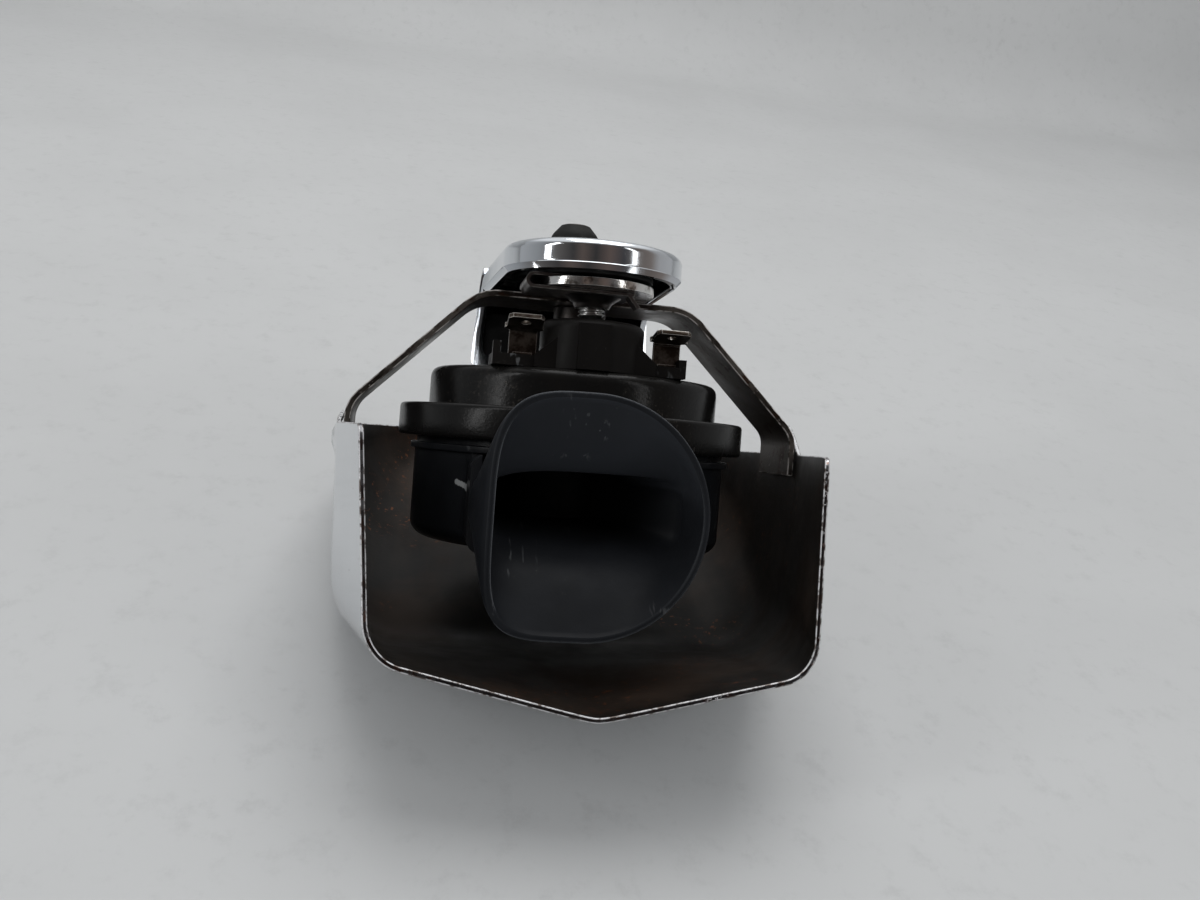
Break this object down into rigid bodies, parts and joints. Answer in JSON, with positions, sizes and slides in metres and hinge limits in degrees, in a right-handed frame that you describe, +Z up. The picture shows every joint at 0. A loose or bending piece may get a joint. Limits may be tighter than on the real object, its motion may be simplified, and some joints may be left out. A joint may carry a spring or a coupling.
{
  "type": "motorcycle horn",
  "caption": "Electric motorcycle horn with a snail trumpet, strapped into a chromed scoop cover, with a pressed swivelling bracket and a rubber mount.",
  "frame": {"origin": "mouth of the threaded hole in the rubber mount, on its axis", "axes": "+Z up from the table, +X to the horn's right seen from its mouth, +Y along the cover's flat face towards its closed end; the mouth and lip face -Y, raised"},
  "size_m": [0.0932, 0.1292, 0.0828],
  "materials": {
    "chrome": "polished, dull and hazed inside",
    "strap_steel": "worn black plating with light rust",
    "black_paint": "satin black paint, dusty",
    "black_plastic": "satin blue-black moulding",
    "zinc": "zinc plated steel, slightly dulled",
    "dark_steel": "dark plated steel, lightly worn",
    "terminal_tin": "tinned brass, dull",
    "rubber": "matte black rubber",
    "paper": "pressed fibre gasket",
    "copper": "enamelled copper wire",
    "core_steel": "plain steel",
    "bobbin": "natural nylon",
    "contact": "bright contact metal"
  },
  "bodies": {
    "horn": {"cover_shell": "chrome", "cover_strap": "strap_steel", "rear_can": "black_paint", "crimp_ring": "black_paint", "rear_gasket": "paper", "front_gasket": "paper", "diaphragm": "core_steel", "pole_core": "core_steel", "coil_bobbin": "bobbin", "coil_winding": "copper", "breaker_base": "paper", "fixed_contact": "contact", "sound_plate": "black_plastic", "trumpet_drum": "black_plastic", "trumpet_bell": "black_plastic", "terminal_block": "black_plastic", "left_terminal": "terminal_tin", "right_terminal": "terminal_tin", "terminal_rivets": "zinc", "mounting_stud": "dark_steel", "lock_washer": "dark_steel", "stud_nut": "zinc", "tongue_plate": "zinc", "clip_nut": "dark_steel", "bracket_bolt": "zinc", "cup_cushion": "rubber", "cushion_sleeve": "zinc"},
    "bracket": {"bracket": "chrome", "window_pad": "rubber", "mount_rubber": "rubber", "mount_insert": "dark_steel", "mount_foot_stud": "zinc", "mount_nut": "zinc"},
    "armature": {"armature": "core_steel", "armature_washer": "core_steel"},
    "breaker": {"breaker_arm": "copper", "moving_contact": "contact"},
    "adjuster": {"adjusting_screw": "zinc"}
  },
  "joints": [
    {"name": "bracket_swivel", "type": "hinge", "parent": "horn", "child": "bracket", "pos_m": [0, -0.03336, 0.0003], "axis": [0, 0.4695, 0.8829], "range_deg": [-12, 12]},
    {"name": "armature_stroke", "type": "slide", "parent": "horn", "child": "armature", "axis": [0, 0.4695, 0.8829], "range_m": [0, 0.0004], "stiffness_N_per_m": 4000, "deforming": ["diaphragm"]},
    {"name": "breaker_rock", "type": "hinge", "parent": "horn", "child": "breaker", "pos_m": [-0.01, -0.04608, -0.01723], "axis": [0, -0.8829, 0.4695], "range_deg": [0, 2.5]},
    {"name": "adjuster_turn", "type": "hinge", "parent": "horn", "child": "adjuster", "pos_m": [0, -0.04165, -0.00889], "axis": [0, 0.4695, 0.8829], "range_deg": [-180, 180]}
  ],
  "couplings": [
    {"joint": "breaker_rock", "follows": "armature_stroke", "rad_per_m": 100}
  ]
}
